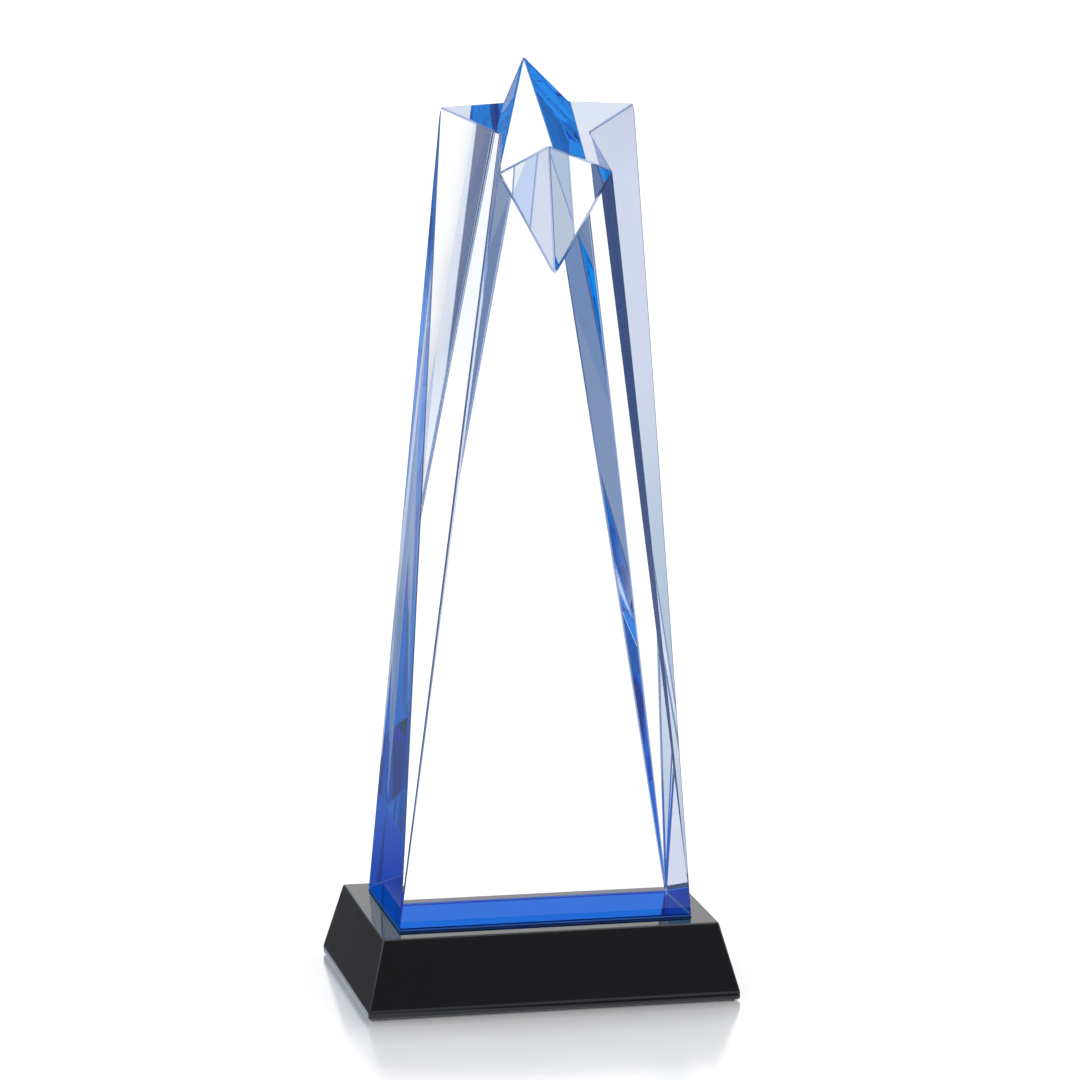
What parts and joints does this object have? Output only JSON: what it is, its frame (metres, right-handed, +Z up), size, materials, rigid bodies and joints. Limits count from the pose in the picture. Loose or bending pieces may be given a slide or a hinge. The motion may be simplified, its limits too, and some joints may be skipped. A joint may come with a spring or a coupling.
{
  "type": "crystal award",
  "caption": "Clear faceted crystal tower with a sloping star-shaped top and a mirror-blue plate under it, on a black crystal base.",
  "frame": {"origin": "centre of the underside, on the surface the award stands on", "axes": "+Z up, +X to the right seen from the front, +Y to the back; the star's face slopes down towards -Y"},
  "size_m": [0.1268, 0.0898, 0.314],
  "materials": {
    "clear_crystal": "ground flat and polished clear",
    "blue_plate": "mirror-blue face seen through the crystal",
    "adhesive": "clear cured optical adhesive",
    "black_crystal": "opaque black crystal, ground flat and polished to a mirror gloss",
    "velvet": "short-pile self-adhesive velvet"
  },
  "bodies": {
    "root": {"star_tower": "clear_crystal", "blue_plate": "blue_plate", "bond_film": "adhesive", "black_base": "black_crystal", "velvet_pad": "velvet"}
  },
  "joints": []
}
